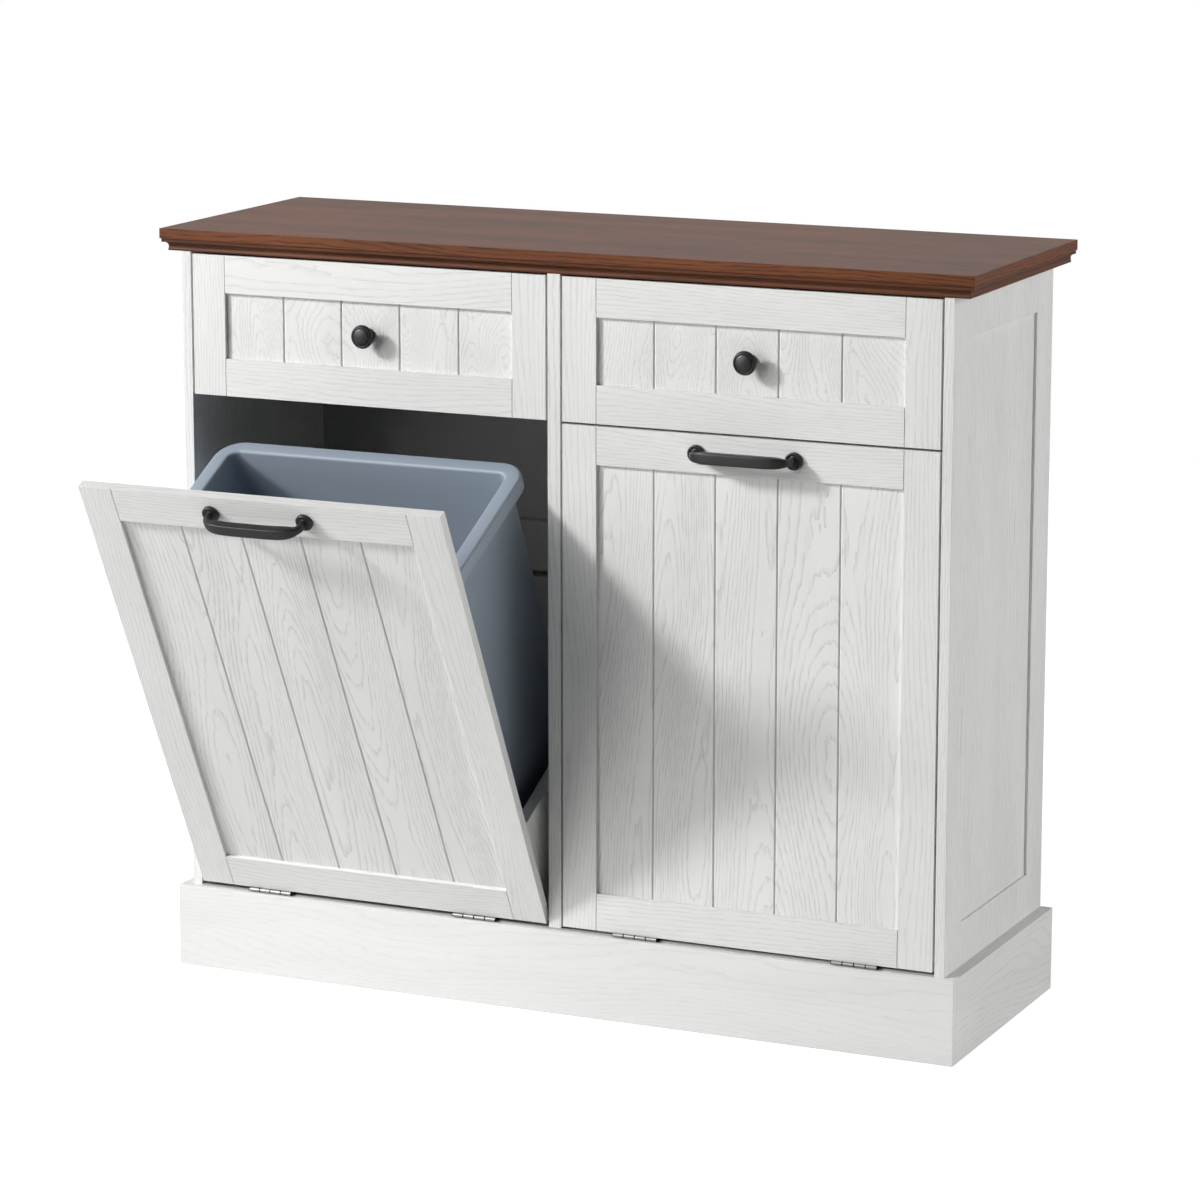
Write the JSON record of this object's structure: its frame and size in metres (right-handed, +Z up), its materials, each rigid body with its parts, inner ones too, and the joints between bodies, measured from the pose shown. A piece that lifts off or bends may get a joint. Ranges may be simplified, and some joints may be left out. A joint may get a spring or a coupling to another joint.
{
  "type": "tilt-out trash cabinet",
  "caption": "Low wooden cabinet with a brown top, drawers above, and tilt-out doors below that carry lift-out bins.",
  "frame": {"origin": "on the floor, in the middle of the plinth's width and depth", "axes": "+X along the cabinet's length to the viewer's right, +Y to the back, +Z up"},
  "size_m": [1.02, 0.6316, 0.899],
  "materials": {
    "white_wood": "satin",
    "brown_wood": "satin",
    "black_metal": "satin",
    "nickel": "satin",
    "zinc": "satin",
    "bin_plastic": "satin"
  },
  "bodies": {
    "cabinet": {"top_panel": "brown_wood", "moulding_front": "brown_wood", "moulding_left": "brown_wood", "moulding_right": "brown_wood", "top_back_strip": "brown_wood", "side_panel_left": "white_wood", "side_panel_right": "white_wood", "divider": "white_wood", "floor_panel": "white_wood", "back_upper": "white_wood", "back_lower": "white_wood", "back_rail_left": "white_wood", "back_rail_right": "white_wood", "plinth_front": "white_wood", "plinth_left": "white_wood", "plinth_right": "white_wood", "plinth_back": "white_wood", "plinth_centre": "white_wood", "stretcher_left": "white_wood", "stretcher_right": "white_wood", "tilt_stops": "white_wood", "runners_left": "zinc", "runners_right": "zinc", "hinge_leaves_floor": "nickel", "hinge_pins": "nickel"},
    "left_door": {"left_door_frame": "white_wood", "left_door_boards": "white_wood", "left_door_pull": "black_metal", "left_hinge_leaves": "nickel", "left_carrier_side_outer": "white_wood", "left_carrier_side_inner": "white_wood", "left_carrier_back": "white_wood", "left_carrier_floor": "white_wood"},
    "left_bin": {"left_bin": "bin_plastic"},
    "right_door": {"right_door_frame": "white_wood", "right_door_boards": "white_wood", "right_door_pull": "black_metal", "right_hinge_leaves": "nickel", "right_carrier_side_outer": "white_wood", "right_carrier_side_inner": "white_wood", "right_carrier_back": "white_wood", "right_carrier_floor": "white_wood"},
    "right_bin": {"right_bin": "bin_plastic"},
    "left_drawer": {"left_drawer_frame": "white_wood", "left_drawer_boards": "white_wood", "left_drawer_side_outer": "white_wood", "left_drawer_side_inner": "white_wood", "left_drawer_back": "white_wood", "left_drawer_bottom": "white_wood", "left_drawer_knob": "black_metal", "left_drawer_runners": "zinc"},
    "right_drawer": {"right_drawer_frame": "white_wood", "right_drawer_boards": "white_wood", "right_drawer_side_outer": "white_wood", "right_drawer_side_inner": "white_wood", "right_drawer_back": "white_wood", "right_drawer_bottom": "white_wood", "right_drawer_knob": "black_metal", "right_drawer_runners": "zinc"}
  },
  "joints": [
    {"name": "left_door_tilt", "type": "hinge", "parent": "cabinet", "child": "left_door", "pos_m": [-0.24025, -0.1631, 0.103], "axis": [1, 0, 0], "range_deg": [-27, 0]},
    {"name": "right_door_tilt", "type": "hinge", "parent": "cabinet", "child": "right_door", "pos_m": [0.24025, -0.1631, 0.103], "axis": [1, 0, 0], "range_deg": [0, 27]},
    {"name": "left_bin_lift", "type": "slide", "parent": "left_door", "child": "left_bin", "axis": [0, -0.454, 0.891], "range_m": [0, 0.055]},
    {"name": "right_bin_lift", "type": "slide", "parent": "right_door", "child": "right_bin", "axis": [0, 0, 1], "range_m": [0, 0.055]},
    {"name": "left_drawer_slide", "type": "slide", "parent": "cabinet", "child": "left_drawer", "axis": [0, -1, 0], "range_m": [0, 0.2]},
    {"name": "right_drawer_slide", "type": "slide", "parent": "cabinet", "child": "right_drawer", "axis": [0, -1, 0], "range_m": [0, 0.2]}
  ]
}
